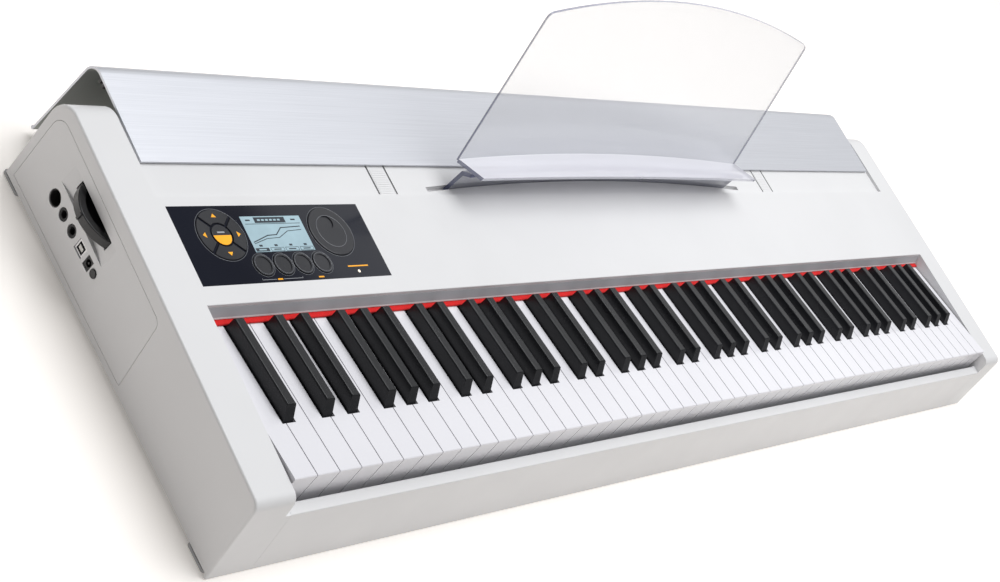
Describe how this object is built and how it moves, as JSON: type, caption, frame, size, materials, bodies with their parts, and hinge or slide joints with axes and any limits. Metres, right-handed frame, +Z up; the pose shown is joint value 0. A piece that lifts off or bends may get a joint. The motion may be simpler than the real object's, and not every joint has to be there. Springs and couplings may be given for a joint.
{
  "type": "digital piano",
  "caption": "Slim digital stage piano with a full weighted keyboard, round menu pad, dial and display, side ports, a sliding metal rear cover and a bowed clear music stand.",
  "frame": {"origin": "bottom centre of the bounding box, on the floor under the case", "axes": "+X along the keyboard from bass to treble, -Y towards the player, +Z up; the case stands level on its feet"},
  "size_m": [1.3158, 0.414, 0.2971],
  "materials": {
    "white_shell": "fine satin",
    "base_plastic": "moulded",
    "foot_rubber": "matt",
    "steel": "bright",
    "gloss_grey": "polished",
    "red_felt": "woven felt",
    "grey_felt": "pressed felt",
    "dark_back": "moulded",
    "gloss_black": "polished",
    "display": "lit liquid crystal",
    "lamp": "lens",
    "circuit_board": "solder mask",
    "contact_rubber": "silicone",
    "socket_black": "moulded",
    "socket_metal": "plated",
    "wheel_black": "polished",
    "bed_metal": "galvanised",
    "ivory_white": "polished",
    "ebony_black": "satin",
    "brushed_aluminium": "brushed along its length, anodised",
    "runner_plastic": "moulded",
    "clear_acrylic": "polished, clear"
  },
  "bodies": {
    "case": {"base_tray": "base_plastic", "left_side_panel": "white_shell", "right_side_panel": "white_shell", "left_port_plate": "white_shell", "right_side_plate": "white_shell", "rubber_feet": "foot_rubber", "base_screws": "steel", "front_rail": "white_shell", "top_panel": "white_shell", "fallboard_strip": "gloss_grey", "fallboard_trim": "white_shell", "key_felt": "red_felt", "rear_panel": "dark_back", "fascia": "gloss_black", "lcd_display": "display", "power_led": "lamp", "dial_encoder": "dark_back", "panel_board": "circuit_board", "midi_socket": "socket_black", "jack_sockets": "socket_black", "usb_socket": "socket_metal", "dc_inlet": "socket_black", "port_board": "circuit_board", "volume_pot": "dark_back", "wheel_bracket": "steel", "main_board": "circuit_board", "key_bed": "bed_metal", "key_pivot_rod": "steel", "stop_felts": "grey_felt", "contact_board": "circuit_board", "contact_rubber": "contact_rubber"},
    "key_c": {"key_c": "ivory_white"},
    "key_c_sharp": {"key_c_sharp": "ebony_black"},
    "key_d": {"key_d": "ivory_white"},
    "key_d_sharp": {"key_d_sharp": "ebony_black"},
    "key_e": {"key_e": "ivory_white"},
    "key_f": {"key_f": "ivory_white"},
    "key_f_sharp": {"key_f_sharp": "ebony_black"},
    "key_g": {"key_g": "ivory_white"},
    "key_g_sharp": {"key_g_sharp": "ebony_black"},
    "key_a": {"key_a": "ivory_white"},
    "key_a_sharp": {"key_a_sharp": "ebony_black"},
    "key_b": {"key_b": "ivory_white"},
    "nav_up_button": {"nav_up_button": "gloss_black"},
    "nav_left_button": {"nav_left_button": "gloss_black"},
    "nav_down_button": {"nav_down_button": "gloss_black"},
    "nav_right_button": {"nav_right_button": "gloss_black"},
    "center_button": {"center_button": "gloss_black"},
    "soft_button_1": {"soft_button_1": "gloss_black"},
    "soft_button_2": {"soft_button_2": "gloss_black"},
    "soft_button_3": {"soft_button_3": "gloss_black"},
    "soft_button_4": {"soft_button_4": "gloss_black"},
    "power_button": {"power_button": "wheel_black"},
    "dial": {"dial": "gloss_black"},
    "lid": {"lid_cover": "brushed_aluminium", "lid_runners": "runner_plastic"},
    "music_stand": {"music_stand_plate": "clear_acrylic", "music_stand_foot": "clear_acrylic"},
    "wheel": {"volume_wheel": "wheel_black", "wheel_shaft": "steel"}
  },
  "joints": [
    {"name": "key_c_press", "type": "hinge", "parent": "case", "child": "key_c", "pos_m": [0.00635, 0.024, 0.06175], "axis": [1, 0, 0], "range_deg": [0, 2.8], "stiffness_Nm_per_rad": 12, "springref_deg": -4.58},
    {"name": "key_c_sharp_press", "type": "hinge", "parent": "case", "child": "key_c_sharp", "pos_m": [0.00635, 0.024, 0.06175], "axis": [1, 0, 0], "range_deg": [0, 2.4], "stiffness_Nm_per_rad": 8, "springref_deg": -4.58},
    {"name": "key_d_press", "type": "hinge", "parent": "case", "child": "key_d", "pos_m": [0.00635, 0.024, 0.06175], "axis": [1, 0, 0], "range_deg": [0, 2.8], "stiffness_Nm_per_rad": 12, "springref_deg": -4.58},
    {"name": "key_d_sharp_press", "type": "hinge", "parent": "case", "child": "key_d_sharp", "pos_m": [0.00635, 0.024, 0.06175], "axis": [1, 0, 0], "range_deg": [0, 2.4], "stiffness_Nm_per_rad": 8, "springref_deg": -4.58},
    {"name": "key_e_press", "type": "hinge", "parent": "case", "child": "key_e", "pos_m": [0.00635, 0.024, 0.06175], "axis": [1, 0, 0], "range_deg": [0, 2.8], "stiffness_Nm_per_rad": 12, "springref_deg": -4.58},
    {"name": "key_f_press", "type": "hinge", "parent": "case", "child": "key_f", "pos_m": [0.00635, 0.024, 0.06175], "axis": [1, 0, 0], "range_deg": [0, 2.8], "stiffness_Nm_per_rad": 12, "springref_deg": -4.58},
    {"name": "key_f_sharp_press", "type": "hinge", "parent": "case", "child": "key_f_sharp", "pos_m": [0.00635, 0.024, 0.06175], "axis": [1, 0, 0], "range_deg": [0, 2.4], "stiffness_Nm_per_rad": 8, "springref_deg": -4.58},
    {"name": "key_g_press", "type": "hinge", "parent": "case", "child": "key_g", "pos_m": [0.00635, 0.024, 0.06175], "axis": [1, 0, 0], "range_deg": [0, 2.8], "stiffness_Nm_per_rad": 12, "springref_deg": -4.58},
    {"name": "key_g_sharp_press", "type": "hinge", "parent": "case", "child": "key_g_sharp", "pos_m": [0.00635, 0.024, 0.06175], "axis": [1, 0, 0], "range_deg": [0, 2.4], "stiffness_Nm_per_rad": 8, "springref_deg": -4.58},
    {"name": "key_a_press", "type": "hinge", "parent": "case", "child": "key_a", "pos_m": [0.00635, 0.024, 0.06175], "axis": [1, 0, 0], "range_deg": [0, 2.8], "stiffness_Nm_per_rad": 12, "springref_deg": -4.58},
    {"name": "key_a_sharp_press", "type": "hinge", "parent": "case", "child": "key_a_sharp", "pos_m": [0.00635, 0.024, 0.06175], "axis": [1, 0, 0], "range_deg": [0, 2.4], "stiffness_Nm_per_rad": 8, "springref_deg": -4.58},
    {"name": "key_b_press", "type": "hinge", "parent": "case", "child": "key_b", "pos_m": [0.00635, 0.024, 0.06175], "axis": [1, 0, 0], "range_deg": [0, 2.8], "stiffness_Nm_per_rad": 12, "springref_deg": -4.58},
    {"name": "nav_up_button_press", "type": "slide", "parent": "case", "child": "nav_up_button", "axis": [0, 0.0527, -0.9986], "range_m": [0, 0.0008], "stiffness_N_per_m": 500, "springref_m": -0.0012},
    {"name": "nav_left_button_press", "type": "slide", "parent": "case", "child": "nav_left_button", "axis": [0, 0.0527, -0.9986], "range_m": [0, 0.0008], "stiffness_N_per_m": 500, "springref_m": -0.0012},
    {"name": "nav_down_button_press", "type": "slide", "parent": "case", "child": "nav_down_button", "axis": [0, 0.0527, -0.9986], "range_m": [0, 0.0008], "stiffness_N_per_m": 500, "springref_m": -0.0012},
    {"name": "nav_right_button_press", "type": "slide", "parent": "case", "child": "nav_right_button", "axis": [0, 0.0527, -0.9986], "range_m": [0, 0.0008], "stiffness_N_per_m": 500, "springref_m": -0.0012},
    {"name": "center_button_press", "type": "slide", "parent": "case", "child": "center_button", "axis": [0, 0.0527, -0.9986], "range_m": [0, 0.0008], "stiffness_N_per_m": 500, "springref_m": -0.0012},
    {"name": "soft_button_1_press", "type": "slide", "parent": "case", "child": "soft_button_1", "axis": [0, 0.0527, -0.9986], "range_m": [0, 0.0008], "stiffness_N_per_m": 500, "springref_m": -0.0012},
    {"name": "soft_button_2_press", "type": "slide", "parent": "case", "child": "soft_button_2", "axis": [0, 0.0527, -0.9986], "range_m": [0, 0.0008], "stiffness_N_per_m": 500, "springref_m": -0.0012},
    {"name": "soft_button_3_press", "type": "slide", "parent": "case", "child": "soft_button_3", "axis": [0, 0.0527, -0.9986], "range_m": [0, 0.0008], "stiffness_N_per_m": 500, "springref_m": -0.0012},
    {"name": "soft_button_4_press", "type": "slide", "parent": "case", "child": "soft_button_4", "axis": [0, 0.0527, -0.9986], "range_m": [0, 0.0008], "stiffness_N_per_m": 500, "springref_m": -0.0012},
    {"name": "power_button_press", "type": "slide", "parent": "case", "child": "power_button", "axis": [1, 0, 0], "range_m": [0, 0.0015], "stiffness_N_per_m": 500, "springref_m": -0.0012},
    {"name": "dial_turn", "type": "hinge", "parent": "case", "child": "dial", "pos_m": [-0.43675, 0.03047, 0.09381], "axis": [0, -0.0527, 0.9986], "continuous": true},
    {"name": "wheel_turn", "type": "hinge", "parent": "case", "child": "wheel", "pos_m": [-0.62165, 0.072, 0.06596], "axis": [0, -0.0527, 0.9986], "range_deg": [-40, 40]},
    {"name": "lid_slide", "type": "slide", "parent": "case", "child": "lid", "axis": [0, 0.9986, 0.0527], "range_m": [-0.0315, 0]},
    {"name": "stand_lift", "type": "slide", "parent": "case", "child": "music_stand", "axis": [0, -0.0527, 0.9986], "range_m": [0, 0.0504]}
  ],
  "couplings": [
    {"joint": "stand_lift", "follows": "lid_slide", "ratio": -1.6}
  ]
}
